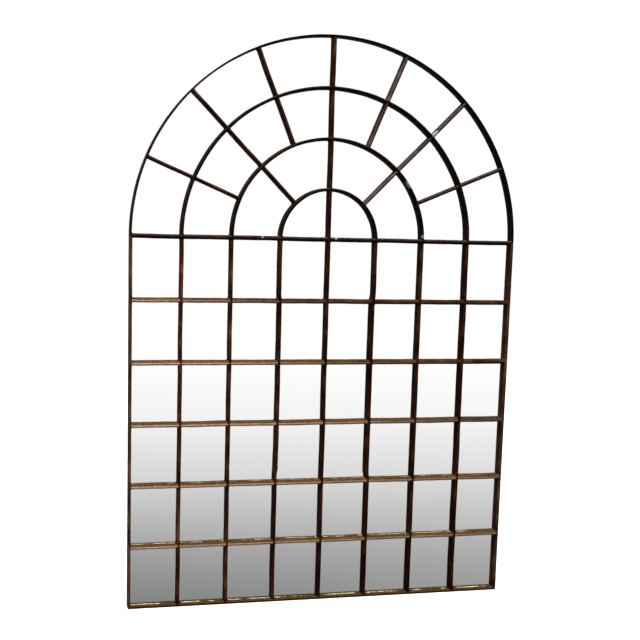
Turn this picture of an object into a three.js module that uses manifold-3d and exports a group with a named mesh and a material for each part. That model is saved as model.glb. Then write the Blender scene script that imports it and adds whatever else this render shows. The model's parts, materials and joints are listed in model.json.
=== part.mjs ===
// An arched window mirror: a steel window grid with a fanlight head over one sheet of mirror glass.
//
// Millimetres. X runs across the mirror, Y from its front towards the wall and Z up. The origin is
// at the middle of the underside. Inside the frame group depths are counted from the front plane.
import * as THREE from "three";
import { mergeVertices } from "three/addons/utils/BufferGeometryUtils.js";
import Module from "manifold-3d";

const wasm = await Module();
wasm.setup();

// Overall frame.
const FRAME_WIDTH = 1250; // outside of one jamb to outside of the other
const FRAME_DEPTH = 43; // front plane to wall
const COLUMNS = 8; // panes across, even, so that the mullion stands on the centre line
const ROWS = 6; // panes between the bottom rail and the transom
const ROW_HEIGHT = 195; // centre to centre of the crossbars
const FAN_ANGLES = [-67.5, -45, -22.5, 22.5, 45, 67.5]; // of the radial bars, from upright
const FAN_STARTS = [2, 1, 2, 2, 1, 2]; // the inner arch on which each radial bar starts

// Rolled sections.
const JAMB_FACE = 8; // front width of the jambs and the bottom rail
const ARCH_FACE = 6; // front width of the arched rim
const RIM_WEB = 4; // thickness of the rim behind its glass rebate
const RIM_OUTER_ROUND = 2;
const RIM_INNER_ROUND = 3;
const BAR_DEPTH = 20; // how far every bar stands off the glass
const UPRIGHT_FACE = 10; // width of the uprights, mullion, inner arches and radial bars
const CROSSBAR_FACE = 14; // width of the crossbars and the transom
const NOSE_DEPTH = 4.5; // depth of the half-round front of a bar
const LAP_DEPTH = 10; // where two crossing bars are halved into each other
const END_INSET = 0.5; // a bar's end stops this far inside the rim's outer face

// Glass and what holds it.
const GLASS_THICKNESS = 4;
const GLASS_EDGE_PLAY = 0.8; // glass edge to rim, at the sides and the arch
const BOARD_THICKNESS = 3;
const BOARD_EDGE_PLAY = 1.2;
const BLOCK_THICKNESS = 2.5; // setting blocks under the glass
const BLOCK_LENGTH = 60;
const BLOCK_SPACING = 620;
const CLIP_SHEET = 2; // sheet thickness of the retaining clips
const CLIP_WIDTH = 18;
const CLIP_ARM = 16; // reach of a clip over the backing board
const ARCH_CLIP_FLATS = [-15.5, -4.5, 4.5, 15.5]; // clips on the arch, in its flats from upright
const RAIL_CLIP_SPACING = 640; // between the two clips on the bottom rail
const WALL_RECESS = 2; // clips and end plates stay this far off the wall

// Back straps and hangers.
const STRAP_THICKNESS = 4;
const STRAP_HEIGHT = 60;
const LOWER_STRAP_LEVEL = 330; // middle of the lower strap, above the underside
const UPPER_STRAP_DROP = 89; // middle of the upper strap, below the spring line
const HANGER_SPACING = 760; // between the two hanging rings
const HANGER_SHEET = 2;
const HANGER_WIDTH = 20;
const HANGER_LEAF = 48; // from the ring's axis to the lower end of the plate
const HANGER_SCREW_DROPS = [29, 41]; // below the ring's axis
const HANGER_RISE = 16; // the ring's axis above the middle of the strap
const RING_WIRE = 4;
const RING_HALF_WIDTH = 15; // middle of the plate to the middle of the wire
const RING_LEG = 6; // straight side of the ring
const RING_CORNER = 4;

// Screws, all of one size.
const SHANK_DIAMETER = 4;
const HEAD_DIAMETER = 7.6;
const HEAD_HEIGHT = 2.2;
const HEAD_ROUND = 0.7;
const SLOT_WIDTH = 1.1;
const SLOT_DEPTH = 1;
const SCREW_BITE = 3; // length of shank inside the piece behind

const FIT_GAP = 0.3; // between pieces that touch

// Facets.
const NOSE_SEGMENTS = 3;
const ARCH_SEGMENTS = 96; // round a full circle
const ROUND_SEGMENTS = 12; // round a screw, a hole or an eye
const WIRE_SIDES = 5;
const RING_STEPS = 30;
const OVERRUN = 5; // cutting shapes run this far past what they cut

// Places that follow from the sizes.
const HALF_WIDTH = FRAME_WIDTH / 2;
const PITCH = (FRAME_WIDTH - JAMB_FACE) / COLUMNS;
const RAIL_CENTRE = JAMB_FACE / 2;
const SPRING_LINE = RAIL_CENTRE + ROWS * ROW_HEIGHT; // middle of the transom, centre of the arches
const UPPER_STRAP_LEVEL = SPRING_LINE - UPPER_STRAP_DROP;
const GLASS_FRONT = BAR_DEPTH + FIT_GAP;
const GLASS_BACK = GLASS_FRONT + GLASS_THICKNESS;
const BOARD_FRONT = GLASS_BACK + FIT_GAP;
const BOARD_BACK = BOARD_FRONT + BOARD_THICKNESS;
const STRAP_FRONT = BOARD_BACK + FIT_GAP;
const STRAP_BACK = STRAP_FRONT + STRAP_THICKNESS;
const TAB_BACK = FRAME_DEPTH - WALL_RECESS;
const WEB_INSIDE = HALF_WIDTH - RIM_WEB;
const FLAT_ANGLE = (2 * Math.PI) / ARCH_SEGMENTS; // the arched rim is made of short flats
const FLAT_INSIDE = WEB_INSIDE * Math.cos(FLAT_ANGLE / 2); // centre of the arches to a flat
const GLASS_FOOT = RIM_WEB + BLOCK_THICKNESS + 2 * FIT_GAP;
const HOLE_RADIUS = SHANK_DIAMETER / 2 + FIT_GAP;
const EYE_RADIUS = RING_WIRE / 2 + FIT_GAP;
const RING_DEPTH = STRAP_BACK + FIT_GAP + HANGER_SHEET + EYE_RADIUS; // the ring's axis
const RING_LEVEL = UPPER_STRAP_LEVEL + HANGER_RISE;

const radians = THREE.MathUtils.degToRad;

// ---------------------------------------------------------------------------------------------
// Solids
// ---------------------------------------------------------------------------------------------

function toSolid(geometry) {
  const bare = geometry.clone();
  bare.deleteAttribute("normal");
  bare.deleteAttribute("uv");
  const merged = mergeVertices(bare);
  return new wasm.Manifold(
    new wasm.Mesh({
      numProp: 3,
      vertProperties: new Float32Array(merged.attributes.position.array),
      triVerts: new Uint32Array(merged.index.array),
    }),
  );
}

function toGeometry(solid) {
  const { vertProperties, triVerts } = solid.getMesh();
  const geometry = new THREE.BufferGeometry();
  geometry.setAttribute("position", new THREE.BufferAttribute(vertProperties, 3));
  geometry.setIndex(new THREE.BufferAttribute(triVerts, 1));
  return geometry;
}

/** A geometry less a list of cutting geometries. */
function cut(geometry, cutters) {
  const solid = cutters.reduce((rest, cutter) => rest.subtract(toSolid(cutter)), toSolid(geometry));
  return toGeometry(solid);
}

/** A box between low and high limits on each axis. */
function box([x0, x1], [y0, y1], [z0, z1]) {
  const geometry = new THREE.BoxGeometry(x1 - x0, y1 - y0, z1 - z0);
  return geometry.translate((x0 + x1) / 2, (y0 + y1) / 2, (z0 + z1) / 2);
}

/** A (Z, Y) outline pulled out to a width along X, centred on X = 0. */
function extrudeAcross(outline, width, curveSegments = 1) {
  const geometry = new THREE.ExtrudeGeometry(outline, {
    depth: width,
    bevelEnabled: false,
    curveSegments,
  });
  return geometry.translate(0, 0, -width / 2).rotateY(-Math.PI / 2);
}

// ---------------------------------------------------------------------------------------------
// Bars. A straight bar runs along its own Z, with its front at Y = 0.
// ---------------------------------------------------------------------------------------------

/** The section of a bar: a flat back on the glass, straight flanks and a half-round nose. */
function barSection(face) {
  const half = face / 2;
  const section = new THREE.Shape();
  section.moveTo(-half, BAR_DEPTH);
  section.lineTo(-half, NOSE_DEPTH);
  section.absellipse(0, NOSE_DEPTH, half, NOSE_DEPTH, Math.PI, 2 * Math.PI, false, 0);
  section.lineTo(half, BAR_DEPTH);
  section.closePath();
  return section;
}

/** The section of the rim, from its outer face at X = 0 inwards; side is +1 or -1 along X. */
function rimSection(face, side) {
  const outer = Math.min(RIM_OUTER_ROUND, face / 2);
  const inner = Math.min(RIM_INNER_ROUND, face - outer);
  const section = new THREE.Shape();
  section.moveTo(0, FRAME_DEPTH);
  section.lineTo(0, outer);
  section.quadraticCurveTo(0, 0, side * outer, 0);
  section.lineTo(side * (face - inner), 0);
  section.quadraticCurveTo(side * face, 0, side * face, inner);
  section.lineTo(side * face, BAR_DEPTH);
  section.lineTo(side * RIM_WEB, BAR_DEPTH);
  section.lineTo(side * RIM_WEB, FRAME_DEPTH);
  section.closePath();
  return section;
}

function straight(section, from, to) {
  const geometry = new THREE.ExtrudeGeometry(section, {
    depth: to - from,
    bevelEnabled: false,
    curveSegments: NOSE_SEGMENTS,
  });
  return geometry.translate(0, 0, from);
}

/** The half ring above the level start that a section sweeps at a radius round the Y axis. */
function archOf(section, radius, start) {
  const points = section.getPoints(NOSE_SEGMENTS).map((p) => new THREE.Vector2(p.x + radius, p.y));
  if (THREE.ShapeUtils.isClockWise(points)) points.reverse();
  points.push(points[0].clone());
  const ring = new THREE.LatheGeometry(points, ARCH_SEGMENTS);
  const reach = radius + FRAME_DEPTH;
  return cut(ring, [box([-reach, reach], [-OVERRUN, FRAME_DEPTH + OVERRUN], [-reach, start])]);
}

/** The cutter that halves a bar where another of width face crosses it at the level at. */
function lap(at, face, front, back) {
  const half = face / 2 + FIT_GAP;
  return box([-FRAME_DEPTH, FRAME_DEPTH], [front, back], [at - half, at + half]);
}

/** Halved from the front, for the bar or rim that passes behind. */
const lapBehind = (at, face) => lap(at, face, -OVERRUN, LAP_DEPTH + FIT_GAP / 2);

/** Halved from the back, for the bar that passes in front. */
const lapInFront = (at, face) => lap(at, face, LAP_DEPTH - FIT_GAP / 2, BAR_DEPTH + OVERRUN);

/** Leaves only the front half of a bar past the level from, to lie on the rim. */
function tongue(from, to) {
  const span = [Math.min(from, to), Math.max(from, to)];
  return box([-FRAME_DEPTH, FRAME_DEPTH], [LAP_DEPTH - FIT_GAP / 2, BAR_DEPTH + OVERRUN], span);
}

/** The same two cuts for an arch, where a bar at an angle from upright crosses its radius. */
function lapOnArch(angle, radius, front, back) {
  const half = UPRIGHT_FACE / 2 + FIT_GAP;
  const span = [radius - FRAME_DEPTH, radius + FRAME_DEPTH];
  return box([-half, half], [front, back], span).rotateY(radians(angle));
}

// ---------------------------------------------------------------------------------------------
// Screws
// ---------------------------------------------------------------------------------------------

/** A slotted pan-head screw: head below Z = 0, shank along +Z through a plate and into the next. */
function screw(plate) {
  const head = HEAD_DIAMETER / 2;
  const shank = SHANK_DIAMETER / 2;
  const tip = plate + FIT_GAP + SCREW_BITE;
  const profile = [
    [0, -HEAD_HEIGHT],
    [head - HEAD_ROUND, -HEAD_HEIGHT],
    [head, HEAD_ROUND - HEAD_HEIGHT],
    [head, 0],
    [shank, 0],
    [shank, tip],
    [0, tip],
  ].map(([x, y]) => new THREE.Vector2(x, y));
  const body = new THREE.LatheGeometry(profile, ROUND_SEGMENTS).rotateX(Math.PI / 2);
  const slot = box(
    [-HEAD_DIAMETER, HEAD_DIAMETER],
    [-SLOT_WIDTH / 2, SLOT_WIDTH / 2],
    [-HEAD_HEIGHT - OVERRUN, SLOT_DEPTH - HEAD_HEIGHT],
  );
  return cut(body, [slot]);
}

/** The clear hole for a screw's shank, along Z between two levels. */
function hole(from, to) {
  const geometry = new THREE.CylinderGeometry(HOLE_RADIUS, HOLE_RADIUS, to - from, ROUND_SEGMENTS);
  return geometry.rotateX(Math.PI / 2).translate(0, 0, (from + to) / 2);
}

const blindHole = () => hole(-OVERRUN, SCREW_BITE + FIT_GAP);

// ---------------------------------------------------------------------------------------------
// Materials and the tree
// ---------------------------------------------------------------------------------------------

const FINISHES = {
  steel: { color: 0x2e211a, roughness: 0.45, metalness: 0.6 },
  mirror: { color: 0xdfe3e4, roughness: 0.03, metalness: 1 },
  board: { color: 0x8c6f4e, roughness: 0.85, metalness: 0 },
  zinc: { color: 0xa9adb0, roughness: 0.4, metalness: 0.9 },
  rubber: { color: 0x1c1c1c, roughness: 0.8, metalness: 0 },
};

function piece(parent, name, geometry, finish) {
  const material = new THREE.MeshStandardMaterial({ ...FINISHES[finish], flatShading: true });
  const mesh = new THREE.Mesh(geometry, material);
  mesh.name = name;
  parent.add(mesh);
  return mesh;
}

const mirror = new THREE.Group();
const frame = new THREE.Group(); // depths from the front plane, heights from the underside
frame.position.y = -FRAME_DEPTH / 2;
mirror.add(frame);

const head = new THREE.Group(); // everything that is set out from the centre of the arches
head.position.z = SPRING_LINE;
frame.add(head);

/** The places of the bars: columns from the left jamb, rows from the bottom rail. */
const columnPlace = (column) => (column - COLUMNS / 2) * PITCH;
const rowLevel = (row) => RAIL_CENTRE + row * ROW_HEIGHT;
const rowNumbers = Array.from({ length: ROWS - 1 }, (_, i) => i + 1);
const columnNumbers = Array.from({ length: COLUMNS - 1 }, (_, i) => i + 1);
const sideColumns = columnNumbers.filter((column) => column !== COLUMNS / 2);
const archNumbers = Array.from({ length: COLUMNS / 2 - 1 }, (_, i) => i + 1);

// ---------------------------------------------------------------------------------------------
// Rim
// ---------------------------------------------------------------------------------------------

const tabCentre = (STRAP_BACK + TAB_BACK) / 2; // depth of the screws in the rim

function addJamb(name, side) {
  const section = rimSection(JAMB_FACE, -side);
  const crossbars = [...rowNumbers, ROWS].map((row) => lapBehind(rowLevel(row), CROSSBAR_FACE));
  const holes = [LOWER_STRAP_LEVEL, UPPER_STRAP_LEVEL].map((level) =>
    blindHole()
      .rotateY((side * Math.PI) / 2)
      .translate(-side * RIM_WEB, tabCentre, level),
  );
  const geometry = cut(straight(section, 0, SPRING_LINE - FIT_GAP / 2), [...crossbars, ...holes]);
  piece(frame, name, geometry, "steel").position.x = side * HALF_WIDTH;
}

function addBottomRail() {
  const half = HALF_WIDTH - JAMB_FACE - FIT_GAP;
  const uprights = columnNumbers.map((column) => lapBehind(columnPlace(column), UPRIGHT_FACE));
  const holes = [-1, 1].map((side) =>
    blindHole()
      .rotateY(Math.PI / 2)
      .translate(-RIM_WEB, tabCentre, (side * RAIL_CLIP_SPACING) / 2),
  );
  const geometry = cut(straight(rimSection(JAMB_FACE, -1), -half, half), [...uprights, ...holes]);
  piece(frame, "bottom_rail", geometry, "steel").rotation.y = Math.PI / 2;
}

function addArchRim() {
  const back = LAP_DEPTH + FIT_GAP / 2;
  const transomEnds = box(
    [-HALF_WIDTH - OVERRUN, HALF_WIDTH + OVERRUN],
    [-OVERRUN, back],
    [-OVERRUN, CROSSBAR_FACE / 2 + FIT_GAP],
  );
  const bars = [0, ...FAN_ANGLES].map((angle) => lapOnArch(angle, HALF_WIDTH, -OVERRUN, back));
  const holes = ARCH_CLIP_FLATS.map((flat) =>
    blindHole().translate(0, tabCentre, FLAT_INSIDE).rotateY(flat * FLAT_ANGLE),
  );
  const rim = archOf(rimSection(ARCH_FACE, -1), HALF_WIDTH, FIT_GAP / 2);
  piece(head, "arch_rim", cut(rim, [transomEnds, ...bars, ...holes]), "steel");
}

addJamb("left_jamb", -1);
addJamb("right_jamb", 1);
addBottomRail();
addArchRim();

// ---------------------------------------------------------------------------------------------
// Grid of bars. The uprights pass in front of the crossbars, and the transom in front of the mullion.
// ---------------------------------------------------------------------------------------------

const railTongue = () => tongue(JAMB_FACE + FIT_GAP, -OVERRUN);
const crossbarLaps = () => rowNumbers.map((row) => lapInFront(rowLevel(row), CROSSBAR_FACE));

sideColumns.forEach((column, i) => {
  const top = SPRING_LINE - CROSSBAR_FACE / 2 - FIT_GAP;
  const bar = straight(barSection(UPRIGHT_FACE), END_INSET, top);
  const geometry = cut(bar, [...crossbarLaps(), railTongue()]);
  piece(frame, `upright_bar_${i + 1}`, geometry, "steel").position.x = columnPlace(column);
});

function addMullion() {
  const top = SPRING_LINE + HALF_WIDTH - END_INSET;
  const arches = archNumbers.map((n) => lapInFront(SPRING_LINE + n * PITCH, UPRIGHT_FACE));
  const rimEnd = tongue(SPRING_LINE + HALF_WIDTH - ARCH_FACE - FIT_GAP, top + OVERRUN);
  const geometry = cut(straight(barSection(UPRIGHT_FACE), END_INSET, top), [
    ...crossbarLaps(),
    ...arches,
    lapBehind(SPRING_LINE, CROSSBAR_FACE),
    railTongue(),
    rimEnd,
  ]);
  piece(frame, "centre_mullion", geometry, "steel");
}

function addCrossbar(name, level, laps) {
  const half = HALF_WIDTH - END_INSET;
  const shoulder = HALF_WIDTH - JAMB_FACE - FIT_GAP;
  const ends = [tongue(shoulder, half + OVERRUN), tongue(-shoulder, -half - OVERRUN)];
  const geometry = cut(straight(barSection(CROSSBAR_FACE), -half, half), [...laps, ...ends]);
  const bar = piece(frame, name, geometry, "steel");
  bar.rotation.y = Math.PI / 2;
  bar.position.z = level;
}

addMullion();
for (const row of rowNumbers) {
  const laps = columnNumbers.map((column) => lapBehind(columnPlace(column), UPRIGHT_FACE));
  addCrossbar(`crossbar_${row}`, rowLevel(row), laps);
}
addCrossbar("transom", SPRING_LINE, [lapInFront(0, UPRIGHT_FACE)]);

// The inner arches stand on the transom. They pass behind the mullion and in front of the radials.
for (const n of archNumbers) {
  const crossing = FAN_ANGLES.filter((_, i) => FAN_STARTS[i] < n);
  const radials = crossing.map((angle) =>
    lapOnArch(angle, n * PITCH, LAP_DEPTH - FIT_GAP / 2, BAR_DEPTH + OVERRUN),
  );
  const mullion = lapOnArch(0, n * PITCH, -OVERRUN, LAP_DEPTH + FIT_GAP / 2);
  const arch = archOf(barSection(UPRIGHT_FACE), n * PITCH, CROSSBAR_FACE / 2 + FIT_GAP);
  piece(head, `inner_arch_${n}`, cut(arch, [mullion, ...radials]), "steel");
}

FAN_ANGLES.forEach((angle, i) => {
  const start = FAN_STARTS[i] * PITCH + UPRIGHT_FACE / 2 + FIT_GAP;
  const end = HALF_WIDTH - END_INSET;
  const arches = archNumbers
    .filter((n) => n > FAN_STARTS[i])
    .map((n) => lapBehind(n * PITCH, UPRIGHT_FACE));
  const rimEnd = tongue(HALF_WIDTH - ARCH_FACE - FIT_GAP, end + OVERRUN);
  const geometry = cut(straight(barSection(UPRIGHT_FACE), start, end), [...arches, rimEnd]);
  piece(head, `radial_bar_${i + 1}`, geometry, "steel").rotation.y = radians(angle);
});

// ---------------------------------------------------------------------------------------------
// Glass, backing board and setting blocks
// ---------------------------------------------------------------------------------------------

/** An arched sheet that keeps a play to the rim's web, from a foot level up, with its back at back. */
function addSheet(name, play, foot, thickness, back, finish) {
  const half = WEB_INSIDE - play;
  const outline = new THREE.Shape();
  outline.moveTo(half, foot);
  outline.lineTo(half, SPRING_LINE);
  outline.absarc(0, SPRING_LINE, half, 0, Math.PI, false);
  outline.lineTo(-half, foot);
  outline.closePath();
  const geometry = new THREE.ExtrudeGeometry(outline, {
    depth: thickness,
    bevelEnabled: false,
    curveSegments: ARCH_SEGMENTS / 2,
  });
  const sheet = piece(frame, name, geometry, finish);
  sheet.rotation.x = Math.PI / 2;
  sheet.position.y = back;
}

addSheet("mirror_glass", GLASS_EDGE_PLAY, GLASS_FOOT, GLASS_THICKNESS, GLASS_BACK, "mirror");
addSheet(
  "backing_board",
  BOARD_EDGE_PLAY,
  RIM_WEB + FIT_GAP,
  BOARD_THICKNESS,
  BOARD_BACK,
  "board",
);

["left", "right"].forEach((name, i) => {
  const geometry = box(
    [-BLOCK_LENGTH / 2, BLOCK_LENGTH / 2],
    [GLASS_FRONT, GLASS_BACK],
    [RIM_WEB + FIT_GAP, RIM_WEB + FIT_GAP + BLOCK_THICKNESS],
  );
  const block = piece(frame, `${name}_setting_block`, geometry, "rubber");
  block.position.x = (i - 0.5) * BLOCK_SPACING;
});

// ---------------------------------------------------------------------------------------------
// Retaining clips: a foot screwed to the inside of the rim, and an arm over the backing board
// ---------------------------------------------------------------------------------------------

/** A clip with its foot against Z = 0, which faces it from outside. */
function clip() {
  const outline = new THREE.Shape();
  outline.moveTo(-FIT_GAP, STRAP_FRONT);
  outline.lineTo(-FIT_GAP, TAB_BACK);
  outline.lineTo(-FIT_GAP - CLIP_SHEET, TAB_BACK);
  outline.lineTo(-FIT_GAP - CLIP_SHEET, STRAP_FRONT + CLIP_SHEET);
  outline.lineTo(-FIT_GAP - CLIP_ARM, STRAP_FRONT + CLIP_SHEET);
  outline.lineTo(-FIT_GAP - CLIP_ARM, STRAP_FRONT);
  outline.closePath();
  const bore = hole(-CLIP_ARM, OVERRUN).translate(0, tabCentre, 0);
  return cut(extrudeAcross(outline, CLIP_WIDTH), [bore]);
}

const clipSites = [
  ...ARCH_CLIP_FLATS.map((flat) => ({
    parent: head,
    turn: flat * FLAT_ANGLE,
    place: new THREE.Vector3(0, 0, FLAT_INSIDE).applyAxisAngle(mirror.up, flat * FLAT_ANGLE),
  })),
  ...[-1, 1].map((side) => ({
    parent: frame,
    turn: Math.PI,
    place: new THREE.Vector3((side * RAIL_CLIP_SPACING) / 2, 0, RIM_WEB),
  })),
];

clipSites.forEach(({ parent, turn, place }, i) => {
  const site = new THREE.Group();
  site.position.copy(place);
  site.rotation.y = turn;
  parent.add(site);
  piece(site, `retaining_clip_${i + 1}`, clip(), "zinc");
  const fixing = piece(site, `clip_screw_${i + 1}`, screw(CLIP_SHEET), "zinc");
  fixing.position.set(0, tabCentre, -2 * FIT_GAP - CLIP_SHEET);
});

// ---------------------------------------------------------------------------------------------
// Back straps: a flat bar welded between two end plates, which are screwed to the jambs
// ---------------------------------------------------------------------------------------------

const PLATE_INSIDE = WEB_INSIDE - FIT_GAP - STRAP_THICKNESS; // centre line to an end plate
const strapLevels = [-STRAP_HEIGHT / 2, STRAP_HEIGHT / 2];

function strapBar(holes) {
  const half = PLATE_INSIDE - FIT_GAP;
  return cut(box([-half, half], [STRAP_FRONT, STRAP_BACK], strapLevels), holes);
}

/** An end plate with its inner face at Z = 0 and its height along X. */
function endPlate() {
  const plain = box(strapLevels, [STRAP_FRONT, TAB_BACK], [0, STRAP_THICKNESS]);
  const bore = hole(-OVERRUN, STRAP_THICKNESS + OVERRUN).translate(0, tabCentre, 0);
  return cut(plain, [bore]);
}

/** The tapped holes of both hanger plates, in the frame of the strap that carries them. */
const hangerHoles = [-1, 1].flatMap((side) =>
  HANGER_SCREW_DROPS.map((drop) =>
    blindHole()
      .rotateX(Math.PI / 2)
      .translate((side * HANGER_SPACING) / 2, STRAP_BACK, HANGER_RISE - drop),
  ),
);

const straps = [
  { name: "lower_back_strap", level: LOWER_STRAP_LEVEL, holes: [] },
  { name: "upper_back_strap", level: UPPER_STRAP_LEVEL, holes: hangerHoles },
];

straps.forEach(({ name, level, holes }, row) => {
  piece(frame, name, strapBar(holes), "zinc").position.z = level;
  [-1, 1].forEach((side, i) => {
    const end = new THREE.Group();
    end.rotation.y = (side * Math.PI) / 2;
    end.position.set(side * PLATE_INSIDE, 0, level);
    frame.add(end);
    piece(end, `strap_end_plate_${2 * row + i + 1}`, endPlate(), "zinc");
    const fixing = piece(end, `strap_screw_${2 * row + i + 1}`, screw(STRAP_THICKNESS), "zinc");
    fixing.position.set(0, tabCentre, -FIT_GAP);
  });
});

// ---------------------------------------------------------------------------------------------
// Hangers: a plate rolled into an eye round the ring's wire, and a swinging D-shaped ring
// ---------------------------------------------------------------------------------------------

/** The plate, with its leaf in front and the axis of its eye at Z = 0. */
function hangerPlate() {
  const outer = EYE_RADIUS + HANGER_SHEET;
  const meeting = Math.PI + Math.asin(EYE_RADIUS / outer); // where the eye comes back to the leaf
  const outline = new THREE.Shape();
  outline.moveTo(-HANGER_LEAF, -outer);
  outline.lineTo(0, -outer);
  outline.absarc(0, 0, outer, -Math.PI / 2, meeting, false);
  outline.lineTo(-HANGER_LEAF, -EYE_RADIUS);
  outline.closePath();
  const eye = new THREE.Path();
  eye.absarc(0, 0, EYE_RADIUS, 0, 2 * Math.PI, true);
  outline.holes.push(eye);
  const holes = HANGER_SCREW_DROPS.map((drop) =>
    hole(-OVERRUN, OVERRUN)
      .rotateX(Math.PI / 2)
      .translate(0, -outer, -drop),
  );
  return cut(extrudeAcross(outline, HANGER_WIDTH, 2 * ROUND_SEGMENTS), holes);
}

/** The ring's wire: it starts and ends in the middle of the eye, where the wire is butted. */
function hangingRing() {
  const w = RING_HALF_WIDTH;
  const round = 0.5523 * w; // handle length of a Bezier quarter circle
  const at = (x, z) => new THREE.Vector3(x, 0, z);
  const path = new THREE.CurvePath();
  const half = (s) => [
    new THREE.LineCurve3(at((s * FIT_GAP) / 2, 0), at(s * (w - RING_CORNER), 0)),
    new THREE.QuadraticBezierCurve3(at(s * (w - RING_CORNER), 0), at(s * w, 0), at(s * w, -RING_CORNER)),
    new THREE.LineCurve3(at(s * w, -RING_CORNER), at(s * w, -RING_LEG)),
    new THREE.CubicBezierCurve3(
      at(s * w, -RING_LEG),
      at(s * w, -RING_LEG - round),
      at(s * round, -RING_LEG - w),
      at(0, -RING_LEG - w),
    ),
  ];
  path.curves.push(...half(1));
  const back = half(-1).reverse();
  path.curves.push(...back.map(reversed));
  const wire = new THREE.Shape();
  wire.absarc(0, 0, RING_WIRE / 2, 0, 2 * Math.PI, false);
  return new THREE.ExtrudeGeometry(wire, {
    extrudePath: path,
    steps: RING_STEPS,
    curveSegments: WIRE_SIDES,
  });
}

/** A line or Bezier curve run the other way. */
function reversed(curve) {
  const names = ["v0", "v1", "v2", "v3"].filter((name) => curve[name]);
  const points = names.map((name) => curve[name]).reverse();
  if (curve.isLineCurve3) points.push(...[curve.v2, curve.v1].slice(points.length));
  return new curve.constructor(...points);
}

["left", "right"].forEach((name, i) => {
  const hanger = new THREE.Group();
  hanger.position.set((i - 0.5) * HANGER_SPACING, RING_DEPTH, RING_LEVEL);
  frame.add(hanger);
  piece(hanger, `${name}_hanger_plate`, hangerPlate(), "zinc");
  piece(hanger, `${name}_hanging_ring`, hangingRing(), "zinc");
  HANGER_SCREW_DROPS.forEach((drop, k) => {
    const fixing = piece(hanger, `hanger_screw_${2 * i + k + 1}`, screw(HANGER_SHEET), "zinc");
    fixing.rotation.x = Math.PI / 2;
    fixing.position.set(0, FIT_GAP - EYE_RADIUS, -drop);
  });
});

export default mirror;
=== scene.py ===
# %% [markdown]
# # An arched window mirror
# The object is a steel window: a rim, a grid of slim bars and a fanlight head, all in front of one
# sheet of silvered glass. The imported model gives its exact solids, in metres, with the front
# facing -Y, the wall at +Y and the underside at Z = 0. This file dresses those solids: it lays
# livelier surfaces over the bars, adds the welds, and gives every piece its material.

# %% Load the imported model
import json
import math

import bmesh
import bpy
import numpy as np
from mathutils import Matrix, Vector


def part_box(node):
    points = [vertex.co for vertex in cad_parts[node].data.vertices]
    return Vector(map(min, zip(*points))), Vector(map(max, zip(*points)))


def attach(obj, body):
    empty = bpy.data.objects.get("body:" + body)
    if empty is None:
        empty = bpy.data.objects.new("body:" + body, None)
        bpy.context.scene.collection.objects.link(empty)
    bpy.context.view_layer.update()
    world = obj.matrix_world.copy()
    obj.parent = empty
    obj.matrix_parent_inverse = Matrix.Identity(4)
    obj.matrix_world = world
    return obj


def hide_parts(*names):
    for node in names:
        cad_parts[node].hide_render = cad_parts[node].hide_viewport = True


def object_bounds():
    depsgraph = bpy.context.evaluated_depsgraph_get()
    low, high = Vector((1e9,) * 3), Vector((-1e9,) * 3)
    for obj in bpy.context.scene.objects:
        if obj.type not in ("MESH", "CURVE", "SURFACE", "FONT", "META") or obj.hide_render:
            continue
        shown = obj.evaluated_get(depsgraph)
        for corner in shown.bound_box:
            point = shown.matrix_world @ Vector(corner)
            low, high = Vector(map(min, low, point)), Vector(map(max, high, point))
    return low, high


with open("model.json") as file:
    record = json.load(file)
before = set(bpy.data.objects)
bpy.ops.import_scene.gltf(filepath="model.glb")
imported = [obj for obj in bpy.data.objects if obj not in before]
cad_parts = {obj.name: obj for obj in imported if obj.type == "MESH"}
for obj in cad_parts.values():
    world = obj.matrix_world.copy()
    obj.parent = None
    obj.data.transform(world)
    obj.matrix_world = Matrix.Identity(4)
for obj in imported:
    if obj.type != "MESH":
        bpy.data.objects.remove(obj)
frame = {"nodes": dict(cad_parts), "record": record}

cad_low, cad_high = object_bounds()
FRONT = cad_low.y  # the plane of the noses
GLASS_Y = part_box("mirror_glass")[0].y  # the mirror's surface
print("CAD box (mm):", [round(1000 * v) for v in (*cad_low, *cad_high)])

# %% [markdown]
# ## Camera
# The mirror was photographed from its left and from about the height of a person's chest, looking
# slightly down and to the right. A camera is set by where it stands, which way it looks and how
# long its lens is. A small shift is used because the picture is an off-centre crop: the lines of
# the grid converge to points that are not placed evenly about the middle of the frame.

# %% Set the camera
PICTURE_PX, SENSOR_MM = 640.0, 36.0  # sides of the square picture and of the sensor
STAND = Vector((-0.964, GLASS_Y - 3.461, 1.231))
YAW, PITCH, ROLL = math.radians(13.33), math.radians(-8.07), math.radians(1.42)
FOCAL_PX, CENTRE_PX = 1127.0, (280.0, 380.0)  # the lens and its axis, in pixels of the picture

flat = math.cos(PITCH)
forward = Vector((math.sin(YAW) * flat, math.cos(YAW) * flat, math.sin(PITCH)))
level = Vector((math.cos(YAW), -math.sin(YAW), 0.0))
over = level.cross(forward)
right = math.cos(ROLL) * level + math.sin(ROLL) * over
up = right.cross(forward)

camera = bpy.data.objects.new("camera", bpy.data.cameras.new("camera"))
bpy.context.scene.collection.objects.link(camera)
bpy.context.scene.camera = camera
turn = Matrix((right, up, -forward)).transposed().to_4x4()
camera.matrix_world = Matrix.Translation(STAND) @ turn
camera.data.sensor_width = SENSOR_MM
camera.data.lens = FOCAL_PX * SENSOR_MM / PICTURE_PX
camera.data.shift_x = (PICTURE_PX / 2 - CENTRE_PX[0]) / PICTURE_PX
camera.data.shift_y = (CENTRE_PX[1] - PICTURE_PX / 2) / PICTURE_PX
print("lens (mm):", round(camera.data.lens, 1), "shift:", camera.data.shift_x, camera.data.shift_y)

# %% [markdown]
# ## Small helpers
# Colours are written as they would be picked on a screen (sRGB hex), but a renderer adds light, so
# it needs linear values. One function does that. Another adds a shader node with its settings and
# links in one line, and a few more stand on it, which keeps each material readable.

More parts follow.
